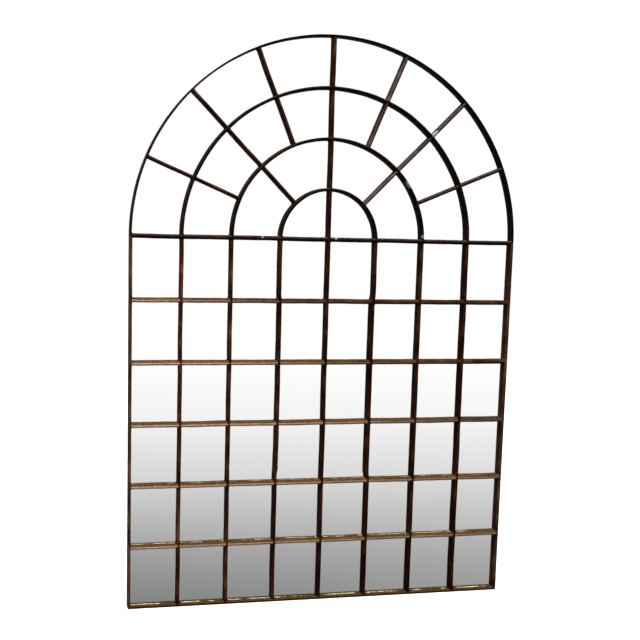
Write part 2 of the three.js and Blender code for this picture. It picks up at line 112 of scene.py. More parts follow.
# %% Helpers for colours, nodes and materials
def linear(colour):
    """sRGB hex to linear: c / 12.92 below 0.04045, else ((c + 0.055) / 1.055) to the power 2.4."""
    c = np.array([int(colour[i : i + 2], 16) for i in (0, 2, 4)]) / 255.0
    return tuple(np.where(c <= 0.04045, c / 12.92, ((c + 0.055) / 1.055) ** 2.4)) + (1.0,)


def add(tree, kind, settings=None, **inputs):
    """Adds a node, sets its properties, and gives each input a value or a link from another node.

    An input is called by its name, or by its number after an underscore.
    """
    node = tree.nodes.new("ShaderNode" + kind)
    for key, value in (settings or {}).items():
        setattr(node, key, value)
    for key, value in inputs.items():
        socket = node.inputs[int(key[1:]) if key[0] == "_" else key.replace("_", " ")]
        if isinstance(value, bpy.types.NodeSocket):
            tree.links.new(value, socket)
        else:
            socket.default_value = value
    return node


def new_material(name):
    """An empty material, with its tree and the object coordinates that its patterns read."""
    material = bpy.data.materials.new(name)
    material.use_nodes = True
    tree = material.node_tree
    tree.nodes.clear()
    place = add(tree, "TexCoord").outputs["Object"]
    return material, tree, place


def finish_material(tree, shader):
    """Connects a shader to the material's output."""
    add(tree, "OutputMaterial", Surface=shader.outputs[0])


print("linear value of the middle grey 808080:", round(linear("808080")[0], 3))

# %% Helpers for patterns
def ramp(tree, factor, stops):
    """A colour ramp from a list of (position, sRGB hex) stops; returns its colour socket."""
    node = add(tree, "ValToRGB", Fac=factor)
    elements = node.color_ramp.elements
    while len(elements) < len(stops):
        elements.new(0.5)
    for element, (position, colour) in zip(elements, stops):
        element.position = position
        element.color = linear(colour)
    return node.outputs["Color"]


def noise(tree, place, size_mm, detail=4.0, roughness=0.6, stretch=None):
    """Noise whose blobs are about size_mm across, in object coordinates of metres."""
    if stretch:
        place = add(tree, "Mapping", Vector=place, Scale=stretch).outputs[0]
    return add(tree, "TexNoise", Vector=place, Scale=1000.0 / size_mm, Detail=detail,
               Roughness=roughness).outputs["Fac"]


def blend(tree, share, below, above, kind="MIX"):
    """Mixes two colours; returns the colour socket."""
    return add(tree, "Mix", {"data_type": "RGBA", "blend_type": kind}, _0=share, _6=below,
               _7=above).outputs[2]


def darken(tree, colour, factor):
    """Multiplies a colour by a factor between 0 and 1."""
    return blend(tree, 1.0, colour, factor, "MULTIPLY")


def times(tree, *factors):
    """The product of several values."""
    product = factors[0]
    for factor in factors[1:]:
        product = add(tree, "Math", {"operation": "MULTIPLY"}, _0=product, _1=factor).outputs[0]
    return product


def span(tree, value, start, end, low=0.0, high=1.0):
    """Runs from low to high as value runs from start to end, and stays there outside."""
    return add(tree, "MapRange", _0=value, From_Min=start, From_Max=end, To_Min=low,
               To_Max=high).outputs[0]


# %% [markdown]
# ## Stage
# The room is plain: a pale floor, a white surround and a large soft light overhead. The sheet of
# glass shows what stands in front of it, so the floor that it mirrors is laid separately: a
# second floor that only reflections see, which glows in painted shade, grey close to the mirror
# and white further out, with painted light to the right.

# %% Build the floors
STAGE = 60.0  # metres to each side, so that the edge of the floor is never seen


def stage_plane(name, back, below, material):
    """A flat floor out to STAGE on the left, the right and the front, just below Z = 0."""
    mesh = bpy.data.meshes.new(name)
    corners = [(-STAGE, -STAGE, -below), (STAGE, -STAGE, -below), (STAGE, back, -below),
               (-STAGE, back, -below)]
    mesh.from_pydata(corners, [], [(0, 1, 2, 3)])
    mesh.materials.append(material)
    made = bpy.data.objects.new(name, mesh)
    bpy.context.scene.collection.objects.link(made)
    return made


paint, tree, place = new_material("pale_floor_paint")
finish_material(tree, add(tree, "BsdfPrincipled", Base_Color=linear("8C8C8C"), Roughness=0.9,
                          Emission_Color=linear("FFFFFF"), Emission_Strength=0.92))
floor = stage_plane("floor", STAGE, 0.0005, paint)
floor.visible_glossy = False
floor.visible_diffuse = False

# Painted shade of the mirrored floor: greys by metres from the mirror, darkest close to it.
FLOOR_GREYS = [(0.0, "838383"), (0.25, "8F8F8F"), (0.67, "A6A6A6"), (1.6, "D0D0D0"),
               (3.1, "EEEEEE"), (5.2, "FAFAFA"), (8.0, "FFFFFF")]  # by metres from the mirror
REACH = FLOOR_GREYS[-1][0]
mirrored, tree, place = new_material("floor_as_mirrored")
axes = add(tree, "SeparateXYZ", Vector=place).outputs
distance = span(tree, axes["Y"], 0.0, -REACH)
greys = ramp(tree, distance, [(metres / REACH, grey) for metres, grey in FLOOR_GREYS])
# Painted light: the mirrored floor is brighter to the right.
to_the_right = span(tree, axes["X"], -0.5, 3.0, 0.0, 0.4)  # that side is brighter
greys = blend(tree, to_the_right, greys, linear("FFFFFF"))
finish_material(tree, add(tree, "Emission", Color=greys, Strength=1.04))
mirrored_floor = stage_plane("mirrored_floor", 0.02, 0.0002, mirrored)
for rays in ("camera", "diffuse", "shadow", "transmission"):
    setattr(mirrored_floor, "visible_" + rays, False)
print("the mirrored floor turns white at (m):", REACH)

# %% [markdown]
# ## Surround and lights
# The photo has a white background and soft, even light. A white surround gives that background
# and the upper half of the reflection. It sends no diffuse light, because that would grey the
# dark steel from all sides. Instead one strong light overhead catches the ledges of the bars,
# weak ones near the camera lift their noses, and one behind shows the back. None is mirrored.

# %% Set the surround and the lights
world = bpy.data.worlds.new("white_surround")
bpy.context.scene.world = world
world.use_nodes = True
background = world.node_tree.nodes["Background"].inputs
background["Color"].default_value = (1, 1, 1, 1)
background["Strength"].default_value = 1.05
world.cycles_visibility.diffuse = False
bpy.context.scene.view_settings.view_transform = "Standard"


def soft_light(name, place, aim, size, power):
    """A square area light at place that faces aim, left out of reflections."""
    light = bpy.data.lights.new(name, "AREA")
    light.shape = "SQUARE"
    light.size = size
    light.energy = power
    lamp = bpy.data.objects.new(name, light)
    bpy.context.scene.collection.objects.link(lamp)
    lamp.location = place
    lamp.rotation_mode = "QUATERNION"
    lamp.rotation_quaternion = (Vector(aim) - Vector(place)).to_track_quat("-Z", "Y")
    lamp.visible_glossy = False
    print(name, "of (W)", power)


soft_light("overhead_light", (-0.6, -1.3, 6.5), (0, 0, 0.8), 2.2, 1800.0)
soft_light("front_light", (-2.5, -4.0, 1.6), (0, 0, 0.7), 3.0, 30.0)
soft_light("low_light", (-0.8, -2.6, 0.1), (0, 0, 0.8), 2.0, 22.0)
soft_light("rear_light", (1.5, 4.0, 3.0), (0, 0, 0.9), 3.0, 200.0)

# %% [markdown]
# ## Patinated steel
# The window is hot-rolled steel that rusted and was then brushed and waxed. What the eye sees is a
# brown skin that turns nearly black in places, with rusty blooms, dusty ledges and a fine scale.
# Painted light is laid into the colour as well: painted shade behind the noses and towards the
# right, pale noses that are part wear and part painted highlight, and painted glints on ledges by
# the glass; the colour also darkens towards the glass. Iron oxide is no metal to light, so the
# surface is a rough dielectric, and the wax over it has very little shine. It needs three scales of
# pattern: blooms, streaks and grit. An attribute called "crest", which each bar carries, is 1 on the
# front of its nose and 0 where it meets the glass, so a layer can keep to the nose or to the corner
# behind it.

# %% What the layers of steel read
BLOOM_MM, STREAK_MM, GRIT_MM = 60, 9, 2.2
BAR_DEPTH, NOSE = 0.020, 0.0045  # depth of a bar, and of its rounded nose alone
NOSE_EDGE = 1 - NOSE / BAR_DEPTH  # the crest where the nose meets the flanks


def steel_patterns(tree, place):
    """Sockets by name: the place, its axes, three scales of noise, the crest and the facing."""
    normal = add(tree, "NewGeometry").outputs["Normal"]
    return {
        "place": place,
        "axes": add(tree, "SeparateXYZ", Vector=place).outputs,
        "bloom": noise(tree, place, BLOOM_MM, 5),
        "streak": noise(tree, place, STREAK_MM, 4),
        "grit": noise(tree, place, GRIT_MM, 3, 0.7),
        "crest": add(tree, "Attribute", {"attribute_name": "crest"}).outputs["Fac"],
        "facing": add(tree, "SeparateXYZ", Vector=normal).outputs,
    }


print("noses end at a crest of", round(NOSE_EDGE, 3))

# %% Rubs and highlights of noses, painted glints and scuffs
def wear_and_highlight_share(tree, see, reach):
    """How pale a nose is, part wear and part painted highlight: most where it looks forward, low
    down and to the left.
    """
    return times(tree, span(tree, see["facing"]["Y"], -0.35, -0.75),
                 span(tree, see["facing"]["Z"], 0.3, -0.05),
                 span(tree, reach, 0.6, 1.05, 1.0, 0.1),
                 span(tree, see["axes"]["X"], -0.5, 0.3, 1.0, 0.6),
                 span(tree, see["streak"], 0.3, 0.6, 0.55, 1.0))


def glint_share(tree, see, upward):
    """Painted glints: pale highlights on ledges near the floor, close to the glass but not behind
    it.
    """
    return times(tree, upward, span(tree, see["grit"], 0.44, 0.5),
                 span(tree, see["bloom"], 0.46, 0.52), span(tree, see["axes"]["Z"], 0.6, 0.2),
                 span(tree, see["crest"], 0.2, 0.12),
                 span(tree, see["axes"]["Y"], GLASS_Y + 0.001, GLASS_Y))


def scuff_share(tree, see, x, z, size):
    """A pale rub round one spot of the front, full to half its size and broken up by the grit."""
    away = add(tree, "VectorMath", {"operation": "DISTANCE"}, _0=see["place"], _1=(x, FRONT, z))
    return times(tree, span(tree, away.outputs["Value"], size, 0.5 * size),
                 span(tree, see["grit"], 0.35, 0.6, 0.2, 0.9))


# %% The steel itself
def steel_material(name, skin, dust, dusty=1.0, colour_at_glass=0.4, wear_and_highlight=None, painted_glints=False, shade=1.0,
                   mottle=0.5, scuffs=()):
    """Brown oxide over steel: blooms of rust, dust where it looks up, darker towards the glass, and
    painted light.

    skin and dust are lists of sRGB colours from dark to light, and dusty is how much dust covers
    a ledge. colour_at_glass is what is left of the colour close to the glass, which darkens towards
    it. wear_and_highlight is the colour of pale noses, part wear from hands and cloths and part
    painted highlight. painted_glints adds pale cream glints, a painted highlight on ledges near the
    floor. shade is what is left of the colour from the middle to the right, a painted shade. mottle
    is how much the streaks show. scuffs are (x, z, size) of pale rubs.
    """
    material, tree, place = new_material(name)
    see = steel_patterns(tree, place)
    across, height = see["axes"]["X"], see["axes"]["Z"]
    streak, crest = see["streak"], see["crest"]
    upward = span(tree, see["facing"]["Z"], 0.1, 0.6, 0.0, dusty)

    colour = ramp(tree, see["bloom"], list(zip((0.38, 0.52, 0.68), skin)))
    colour = blend(tree, span(tree, streak, 0.55, 0.75, 0.0, mottle), colour, linear(skin[2]))
    # Pale noses, part wear from hands and cloths and part painted highlight of the light from the
    # front, most at the lower left where reach is least.
    if wear_and_highlight:
        reach = add(tree, "Math", {"operation": "MULTIPLY_ADD"}, _0=across, _1=0.5, _2=height)
        reach = reach.outputs[0]  # least at the lower left, which is touched the most
        colour = blend(tree, wear_and_highlight_share(tree, see, reach), colour, linear(wear_and_highlight))
        upward = times(tree, upward, span(tree, reach, 0.6, 1.05, 1.0, 0.25))
    # Painted shade: the colour darkens from the middle of the window to the right.
    if shade < 1.0:
        colour = darken(tree, colour, span(tree, across, -0.45, -0.1, 1.0, shade))
    colour = blend(tree, upward, colour, ramp(tree, streak, [(0.36, dust[0]), (0.66, dust[1])]))
    # Painted shade: a dark band on the flanks just behind the nose, darkest where they meet it.
    painted_shade_behind_nose = times(tree, span(tree, crest, 0.8, NOSE_EDGE), span(tree, crest, 0.35, NOSE_EDGE))
    colour = darken(tree, colour, span(tree, painted_shade_behind_nose, 0.0, 1.0, 1.0, 0.4))
    # Painted glints: pale cream highlights on ledges near the floor, by the glass.
    if painted_glints:
        colour = blend(tree, glint_share(tree, see, upward), colour, linear("B5A888"))
    # Darker towards the glass.
    colour = darken(tree, colour, span(tree, crest, 0.05, 0.6, colour_at_glass, 1.0))
    # Painted shade: the colour darkens towards the upper right.
    if wear_and_highlight:
        colour = darken(tree, colour, span(tree, reach, 0.65, 1.0, 1.0, 0.45))
    for x, z, size in scuffs:
        colour = blend(tree, scuff_share(tree, see, x, z, size), colour, linear("747674"))

    scale = add(tree, "Math", {"operation": "ADD"}, _0=see["grit"], _1=streak).outputs[0]
    bump = add(tree, "Bump", Strength=0.5, Distance=0.0005, Height=scale).outputs[0]
    rough = span(tree, streak, 0.0, 1.0, 0.5, 0.8)
    finish_material(tree, add(tree, "BsdfPrincipled", Base_Color=colour, Roughness=rough,
                              Specular_IOR_Level=0.01, Normal=bump))
    print("steel:", name, "from", skin[0], "to", skin[2])
    return material


# %% [markdown]
# One window shows many finishes of the same steel, because each bar had its own life. They differ
# in how dark the oxide is, how much dust lies on them, where they were rubbed, and how much
# painted shade and painted highlight they carry, so each is the same material with other colours.

# %% Finishes of the steel
# Uprights: a rusty red-brown, which painted shade takes to almost black by the middle of the window.
steel = steel_material("waxed_rusty_steel", ("200C05", "3A1A0C", "5C3624"),
                       ("2A1C10", "3E2C1C"), dusty=0.4, shade=0.36)
# Head of the rim and inner arches: nearly black, with painted shade to the right and two bare spots.
black_steel = steel_material("blackened_waxed_steel", ("0A0605", "160C08", "24150E"),
                             ("1A130E", "2A1F17"), dusty=0.4, shade=0.7, mottle=0.2,
                             scuffs=[(0.254, 1.352, 0.016), (0.3105, 1.190, 0.007)])
# Radial bars on the left: a dark, warm red-brown.
red_steel = steel_material("dark_red_brown_waxed_steel", ("150907", "26140F", "3C251C"),
                           ("2A1C14", "3A2A20"), dusty=0.4, mottle=0.3)
# Upper radial bars on the right: greyer, as if lightly dusted, with one bare spot at a weld.
fan_steel = steel_material("grey_brown_waxed_steel", ("1C1411", "2C211C", "433732"),
                           ("28201B", "3A302A"), dusty=0.5, mottle=0.3,
                           scuffs=[(0.338, 1.513, 0.018)])
# Jambs: the lightest brown, with painted shade on the right jamb.
light_brown_steel = steel_material("light_brown_rusty_steel", ("26150C", "3D2718", "5A4030"),
                               ("2A1C10", "3E2C1C"), shade=0.72)
# Crossbars: pale tan noses at the lower left, part wear and part painted highlight, dusty ledges,
# painted glints near the floor, and painted shade towards the upper right.
dusty_steel = steel_material("dusty_rusty_steel", ("24150A", "392414", "553B26"),
                             ("2A1A0B", "44301C"), colour_at_glass=0.85, wear_and_highlight="C5A487", painted_glints=True)
# Bottom rail: dark and dirty, with painted glints as well.
rail_steel = steel_material("floor_dusty_rusty_steel", ("160D05", "20150A", "302110"),
                            ("23170A", "382819"), colour_at_glass=0.85, painted_glints=True)
# Transom and the lowest radial bar on the right: nearly black, with painted shade to the right and
# two small bare spots.
near_black_steel = steel_material("near_black_waxed_steel", ("100906", "1A0F0B", "2A1C15"),
                             ("18120E", "302620"), colour_at_glass=0.8, shade=0.6,
                             scuffs=[(0.022, 1.179, 0.006), (-0.215, 1.178, 0.005)])
# Welds: redder than the bars beside them, as bare weld metal rusts first.
welded_steel = steel_material("rusty_weld_bead", ("1E0B06", "35180D", "4A2616"),
                              ("2A1C10", "3E2C1C"), dusty=0.4, colour_at_glass=0.7, shade=0.5)

# %% [markdown]
# ## Silvered glass
# Mirror glass is clear float glass with silver behind it. Nearly all the light comes back, so the
# sheet is a smooth metal to the renderer, very slightly grey-green as thick glass is. Float glass
# is a little wavy over a hand's width, which a faint bump gives.

# %% Material for the glass
WAVES_PER_METRE = 6.0
silver, tree, place = new_material("silvered_float_glass")
wave = add(tree, "TexNoise", Vector=place, Scale=WAVES_PER_METRE, Detail=1.0).outputs["Fac"]
bump = add(tree, "Bump", Strength=0.02, Distance=0.002, Height=wave).outputs[0]
finish_material(tree, add(tree, "BsdfPrincipled", Base_Color=linear("FBFCFB"), Metallic=1.0,
                          Roughness=0.012, Normal=bump))
print("a wave of the glass is about (mm):", round(1000 / WAVES_PER_METRE))

# %% [markdown]
# ## Materials behind the glass
# The back is plain trade stock. Hardboard is pressed wood fibre, and its rough side keeps the
# print of the wire screen it was pressed on. Zinc plating is a cool grey metal with cloudy
# patches, dull on rolled bar and brighter on small fittings, whose patches are finer. The setting
# blocks are matt black rubber, speckled by the mould.

# %% Material for the board
SCREEN_PITCH = 0.002  # metres from wire to wire of the press
board, tree, place = new_material("pressed_fibre_hardboard")
cloud = noise(tree, place, 80, 4)
fibre = noise(tree, place, 3, 3, 0.7, stretch=(1.0, 1.0, 0.3))
colour = ramp(tree, cloud, [(0.35, "725237"), (0.65, "86654A")])
colour = blend(tree, span(tree, fibre, 0.45, 0.75, 0.0, 0.6), colour, linear("A5875F"))
# A wave texture repeats every 2 pi / (20 * Scale). The two waves cross to make the screen.
screen = [add(tree, "TexWave", {"bands_direction": axis}, Vector=place, Distortion=0.4,
              Scale=2 * math.pi / (20 * SCREEN_PITCH)).outputs["Fac"] for axis in "XZ"]
height = add(tree, "Math", {"operation": "MULTIPLY_ADD"}, _0=times(tree, *screen), _1=0.8,
             _2=fibre).outputs[0]
bump = add(tree, "Bump", Strength=0.4, Distance=0.0004, Height=height).outputs[0]
finish_material(tree, add(tree, "BsdfPrincipled", Base_Color=colour, Roughness=0.85, Normal=bump))
print("screen print of the board (mm):", 1000 * SCREEN_PITCH)

# %% Materials for zinc and rubber
def zinc_material(name, patches, size_mm, roughness):
    """Zinc plate: cloudy patches about size_mm across, and a fine grain along X from rolling."""
    material, tree, place = new_material(name)
    cloud = noise(tree, place, size_mm, 4)
    grain = noise(tree, place, 0.8, 2, 0.6, stretch=(0.15, 1.0, 1.0))
    colour = ramp(tree, cloud, list(zip((0.35, 0.55, 0.7), patches)))
    bump = add(tree, "Bump", Strength=0.25, Distance=0.0002, Height=grain).outputs[0]
    rough = span(tree, cloud, 0.3, 0.7, roughness, roughness + 0.18)
    finish_material(tree, add(tree, "BsdfPrincipled", Base_Color=colour, Metallic=1.0,
                              Roughness=rough, Normal=bump))
    print("zinc:", name, "with patches of (mm)", size_mm)
    return material


zinc = zinc_material("dull_zinc_plated_bar", ("94999C", "A3A7A9", "ADACA4"), 14, 0.36)
bright_zinc = zinc_material("bright_zinc_plated_fittings", ("70767A", "858B8F", "9A9789"), 5, 0.22)

rubber, tree, place = new_material("moulded_setting_rubber")
speck = noise(tree, place, 1.2, 3)
bump = add(tree, "Bump", Strength=0.3, Distance=0.0003, Height=speck).outputs[0]
finish_material(tree, add(tree, "BsdfPrincipled", Roughness=0.8, Normal=bump,
                          Base_Color=ramp(tree, speck, [(0.3, "131313"), (0.7, "242322")])))

# %% [markdown]
# ## Bars as swept surfaces
# A bar is one profile carried along a path. The profile is a half-round nose on two flat flanks.
# The path is a line or an arc in the plane of the window, and the bar wanders from it by a
# fraction of a millimetre, as forged and rewelded steel does. Everything is computed as one
# array: rows are places along the path, columns are points of the profile.

# %% Profiles
OUTER_ROUND, INNER_ROUND, WEB = 0.002, 0.003, 0.004  # arrises of the rim, and its wall at the glass
RIM_DEPTH = cad_high.y - FRONT


def bar_section(face, steps=9):
    """(across, depth, crest) of a bar's section: flank, half-ellipse nose, flank, flat back.

    across = face/2 * cos(t), depth = nose * (1 - sin(t)) for t from pi to 0.
    """
    t = np.linspace(math.pi, 0, steps)
    flank = np.linspace(BAR_DEPTH, NOSE, 4)[:-1]
    across = np.r_[np.full(3, -face / 2), face / 2 * np.cos(t), np.full(3, face / 2)]
    depth = np.r_[flank, NOSE * (1 - np.sin(t)), flank[::-1]]
    return across, depth, 1 - depth / BAR_DEPTH


def rim_section(face, steps=5):
    """The same for the rim, from its outer face inwards: two rounds, and a rebate for the glass.

    Each round is a quarter circle: across = r - r cos(t), depth = r - r sin(t).
    """
    t = np.linspace(0, math.pi / 2, steps)
    across = np.r_[0, 0, OUTER_ROUND * (1 - np.cos(t)), face - INNER_ROUND * (1 - np.sin(t)),
                   face, face, WEB, WEB]
    depth = np.r_[RIM_DEPTH, BAR_DEPTH, OUTER_ROUND * (1 - np.sin(t)),
                  INNER_ROUND * (1 - np.cos(t)), BAR_DEPTH / 2, BAR_DEPTH, BAR_DEPTH, RIM_DEPTH]
    crest = np.r_[1, 1, np.ones(2 * steps), 0.5, 0, 0, 0]
    return across, depth, crest


def ring_of_wire(radius, sides=14):
    """A circle, for a wire: across = r cos(t), depth = r sin(t)."""
    t = np.linspace(0, 2 * math.pi, sides, endpoint=False)
    return radius * np.cos(t), radius * np.sin(t), np.ones(sides)


print("points of a section:", len(bar_section(0.01)[0]), "bar,", len(rim_section(0.01)[0]), "rim")

# %% From a profile and a path to a mesh
SHARP = math.radians(50)  # edges that turn more than this stay crisp


def dress(name, mesh, crest, material, body="frame"):
    """Turns the faces outwards, smooths the sides but not the ends, and adds the object."""
    solid = bmesh.new()
    solid.from_mesh(mesh)
    if solid.calc_volume(signed=True) < 0:
        bmesh.ops.reverse_faces(solid, faces=solid.faces)
    for face in solid.faces:
        face.smooth = len(face.verts) == 4
    for edge in solid.edges:
        edge.smooth = edge.calc_face_angle(0) < SHARP
    solid.to_mesh(mesh)
    solid.free()
    mesh.attributes.new("crest", "FLOAT", "POINT").data.foreach_set("value", np.float32(crest))
    mesh.materials.append(material)
    made = bpy.data.objects.new(name, mesh)
    bpy.context.scene.collection.objects.link(made)
    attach(made, body)
    return made


def grid_mesh(name, points, crest, material, body="frame"):
    """A mesh from a grid of points (rows, columns, 3), wrapped round its columns, with end caps."""
    rows, columns = points.shape[:2]
    index = np.arange(rows * columns).reshape(rows, columns)
    turned = np.roll(index, -1, 1)
    quads = np.stack([index[:-1], turned[:-1], turned[1:], index[1:]], -1).reshape(-1, 4)
    faces = quads.tolist() + [index[0][::-1].tolist(), index[-1].tolist()]
    mesh = bpy.data.meshes.new(name)
    mesh.from_pydata(points.reshape(-1, 3).tolist(), [], faces)
    return dress(name, mesh, np.tile(crest, rows), material, body)


def carry(centre, sideways, across, depth, front):
    """The grid of points of a section carried along centre (rows, 2) in X and Z.

    point = centre + across * sideways in X and Z, and front + depth in Y.
    """
    across, depth = np.broadcast_arrays(across, depth + np.zeros((len(centre), 1)))
    flat = centre[:, None] + across[..., None] * sideways[:, None]
    return np.stack([flat[..., 0], front + depth, flat[..., 1]], -1)


# %% [markdown]
# Real bars are never dead straight. Each bar gets three kinds of unevenness, all sums of sines: it
# bends sideways, its width swells, and its nose leans back. Two uprights were also mended with a
# stouter length, which sits a little to one side.

# %% Sweep bars and lengths of rim
# Each unevenness is (size, length of its waves) in metres. The swell is a share of the width.
BENDS, SWELLS, LEANS, DENTS = (0.0006, 0.22), (0.03, 0.05), (0.0004, 0.06), (0.0003, 0.1)
SINES, THEIR_SUM = 5, 2.2  # five sines of size 1 add up to about 2.2
MEND_TAPER = 0.02


def wander(length, size, wave, seed):
    """A smooth random offset along a bar: a sum of sines with lengths near wave."""
    local = np.random.default_rng(seed)
    waves = wave * local.uniform(0.6, 2.4, SINES)
    phases = local.uniform(0, 2 * math.pi, SINES)
    sizes = size * local.uniform(0.3, 1.0, SINES) / THEIR_SUM
    return (sizes * np.sin(2 * math.pi * length[:, None] / waves + phases)).sum(1)


def sweep(name, node, path, face, seed, front=0.0, material=steel, bulge=None):
    """A bar along path, wandering by less than a millimetre, in place of its solid.

    bulge is (start, end, width factor, offset) of a stretch that was mended with a thicker bar.
    """
    centre, sideways, length = path
    across, depth, crest = bar_section(face)
    side = wander(length, *BENDS, seed)
    swell = 1 + wander(length, *SWELLS, seed + 1)
    if bulge:
        start, end, factor, offset = bulge
        inside = np.clip((length - start) / MEND_TAPER, 0, 1)
        inside = inside * np.clip((end - length) / MEND_TAPER, 0, 1)
        swell = swell * (1 + (factor - 1) * inside)
        side = side + offset * inside
    lean = np.clip(wander(length, *LEANS, seed + 2), 0, None)
    deep = np.minimum(front + depth + lean[:, None] * crest, BAR_DEPTH)
    points = carry(centre, sideways, across * swell[:, None] + side[:, None], deep, FRONT)
    made = grid_mesh(name, points, crest, material)
    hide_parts(node)


def sweep_rim(name, node, path, seed, face, material):
    """A length of the rim along its outer edge, dented inwards only, in place of its solid."""
    centre, sideways, length = path
    across, depth, crest = rim_section(face)
    side = np.clip(wander(length, *DENTS, seed), 0, None)
    points = carry(centre, sideways, across + side[:, None], depth, FRONT)
    made = grid_mesh(name, points, crest, material)
    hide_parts(node)


# %% [markdown]
# ## Places of the bars
# The grid repeats two sizes: the pitch of the columns and the height of the rows. Both are read
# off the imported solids, so that the dressed bars lie exactly on theirs.

# %% Lay out the grid
def middle(node):
    """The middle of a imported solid's box."""
    low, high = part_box(node)
    return (low + high) / 2


PITCH_X = middle("upright_bar_6").x - middle("upright_bar_5").x
ROWS = [middle(f"crossbar_{i}").z for i in range(1, 6)]
SPRING = middle("transom").z
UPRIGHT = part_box("upright_bar_1")[1].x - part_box("upright_bar_1")[0].x
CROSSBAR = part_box("transom")[1].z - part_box("transom")[0].z
RIM = cad_high.x
print("pitch (mm):", round(1000 * PITCH_X, 2), "spring line (mm):", round(1000 * SPRING, 1))


def line(start, end, step=0.006):
    """Points from start to end every step, the normals to the right, and their distances."""
    start, end = np.array(start, float), np.array(end, float)
    total = np.linalg.norm(end - start)
    length = np.linspace(0, total, max(2, int(total / step)))
    along = (end - start) / total
    centre = start + length[:, None] * along
    return centre, np.tile([along[1], -along[0]], (len(length), 1)), length


def arc(radius, start, end, step=0.006):
    """The same for an arc about the middle of the transom, angles counted from +X."""
    angle = np.linspace(start, end, int(abs(end - start) * radius / step))
    out = np.stack([np.cos(angle), np.sin(angle)], -1)
    return out * radius + [0, SPRING], out * np.sign(end - start), radius * abs(angle - start)


# %% [markdown]
# ## Straight bars
# Uprights stand between the bottom rail and the transom, the mullion runs on to the crown, and
# crossbars reach from jamb to jamb. Their noses lie about a millimetre behind those of the
# uprights, so that an upright runs through each crossing unbroken, as it does in the photo. The
# transom is level with the uprights.

# %% Straight bars
TUCK = 0.001  # a bar ends this far inside the outer face of the rim, or of the arch it starts from
FOOT = 0.0006  # height of an upright's foot over the underside
CROSS_BACK, RADIAL_BACK = 0.0012, 0.001  # noses lie this far behind those of the uprights
MENDS = {3: (0.42, 1.0, 1.12, 0.0022), 4: (0.40, 1.0, 1.22, -0.0035)}  # the mended uprights
for i in range(1, 7):
    x = middle(f"upright_bar_{i}").x
    path = line((x, FOOT), (x, SPRING - CROSSBAR / 2))
    sweep(f"upright_{i}", f"upright_bar_{i}", path, UPRIGHT, 10 * i, bulge=MENDS.get(i))
path = line((0, FOOT), (0, SPRING + RIM - 2 * TUCK))
sweep("mullion", "centre_mullion", path, UPRIGHT, 90)

for i, z in enumerate(ROWS, 1):
    path = line((TUCK - RIM, z), (RIM - TUCK, z))
    sweep(f"cross_{i}", f"crossbar_{i}", path, CROSSBAR, 100 + 10 * i, CROSS_BACK, dusty_steel)
path = line((TUCK - RIM, SPRING), (RIM - TUCK, SPRING))
sweep("transom_bar", "transom", path, CROSSBAR, 170, material=near_black_steel)
print("faces of uprights and crossbars (mm):", round(1000 * UPRIGHT, 1), round(1000 * CROSSBAR, 1))

# %% [markdown]
# ## The fanlight head
# Three half-round arches stand on the transom, one column pitch apart. Six radial bars run out
# from them to the rim: the two at 45 degrees start from the first arch, the others from the
# second. An arch is the same profile along an arc, and a radial bar the same along a line.

# %% Arches and radial bars
for n in (1, 2, 3):
    rise = math.asin((CROSSBAR / 2) / (n * PITCH_X))  # where the arch leaves the transom
    path = arc(n * PITCH_X, math.pi - rise, rise)
    sweep(f"arch_{n}", f"inner_arch_{n}", path, UPRIGHT, 180 + 10 * n, material=black_steel)

FAN = list(zip((-67.5, -45, -22.5, 22.5, 45, 67.5), (2, 1, 2, 2, 1, 2)))  # angle, first arch
for i, (angle, start) in enumerate(FAN, 1):
    out = np.array([math.sin(math.radians(angle)), math.cos(math.radians(angle))])
    foot = out * (start * PITCH_X + UPRIGHT / 2 - TUCK) + [0, SPRING]
    path = line(foot, out * (RIM - 2 * TUCK) + [0, SPRING])
    finish = red_steel if angle < 0 else fan_steel if angle < 60 else near_black_steel
    sweep(f"radial_{i}", f"radial_bar_{i}", path, UPRIGHT, 220 + 10 * i, RADIAL_BACK, finish)
print("radii of the arches (mm):", [round(1000 * n * PITCH_X, 1) for n in (1, 2, 3)])

# %% [markdown]
# ## Rim
# The rim is a heavier section with a rebate, which holds glass and board from behind. It is made
# of two jambs, a bottom rail between them and a half-round head, with a fine seam where they are
# butted. A small weld closes each lower corner behind the glass.

# %% Rim and its corner welds
FACE, ARCH_FACE = 0.008, 0.006  # of jambs and rail, and of the head
GAP = 0.0003  # between butted ends
RAIL_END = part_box("bottom_rail")[1].x  # the rail stops against the faces of the jambs
seam = SPRING - GAP / 2
sweep_rim("jamb_left", "left_jamb", line((-RIM, 0), (-RIM, seam)), 301, FACE, light_brown_steel)
sweep_rim("arch", "arch_rim", arc(RIM, math.pi, 0), 302, ARCH_FACE, black_steel)
sweep_rim("jamb_right", "right_jamb", line((RIM, seam), (RIM, 0)), 303, FACE, light_brown_steel)
sweep_rim("rail", "bottom_rail", line((RAIL_END, 0), (-RAIL_END, 0)), 304, FACE, rail_steel)

across = np.array([0, 0, WEB, WEB])
depth = np.array([RIM_DEPTH, BAR_DEPTH, BAR_DEPTH, RIM_DEPTH])
for name, start, end in (("left_corner_weld", -RAIL_END, WEB - RIM),
                         ("right_corner_weld", RIM - WEB, RAIL_END)):
    centre, sideways, length = line((start, 0), (end, 0), 0.001)
    corner = grid_mesh(name, carry(centre, sideways, across, depth, FRONT), np.ones(4), welded_steel)
print("corner welds (mm):", round(1000 * (RIM - WEB - RAIL_END), 1), "by", round(1000 * WEB, 1))

# %% [markdown]
# ## Weld beads
# Where two bars cross, a short bead of weld fills each inside corner, from behind the noses to the
# glass. A bead is a stack of rings whose radius changes from ring to ring. There are hundreds, so
# each has few faces and all are one mesh.

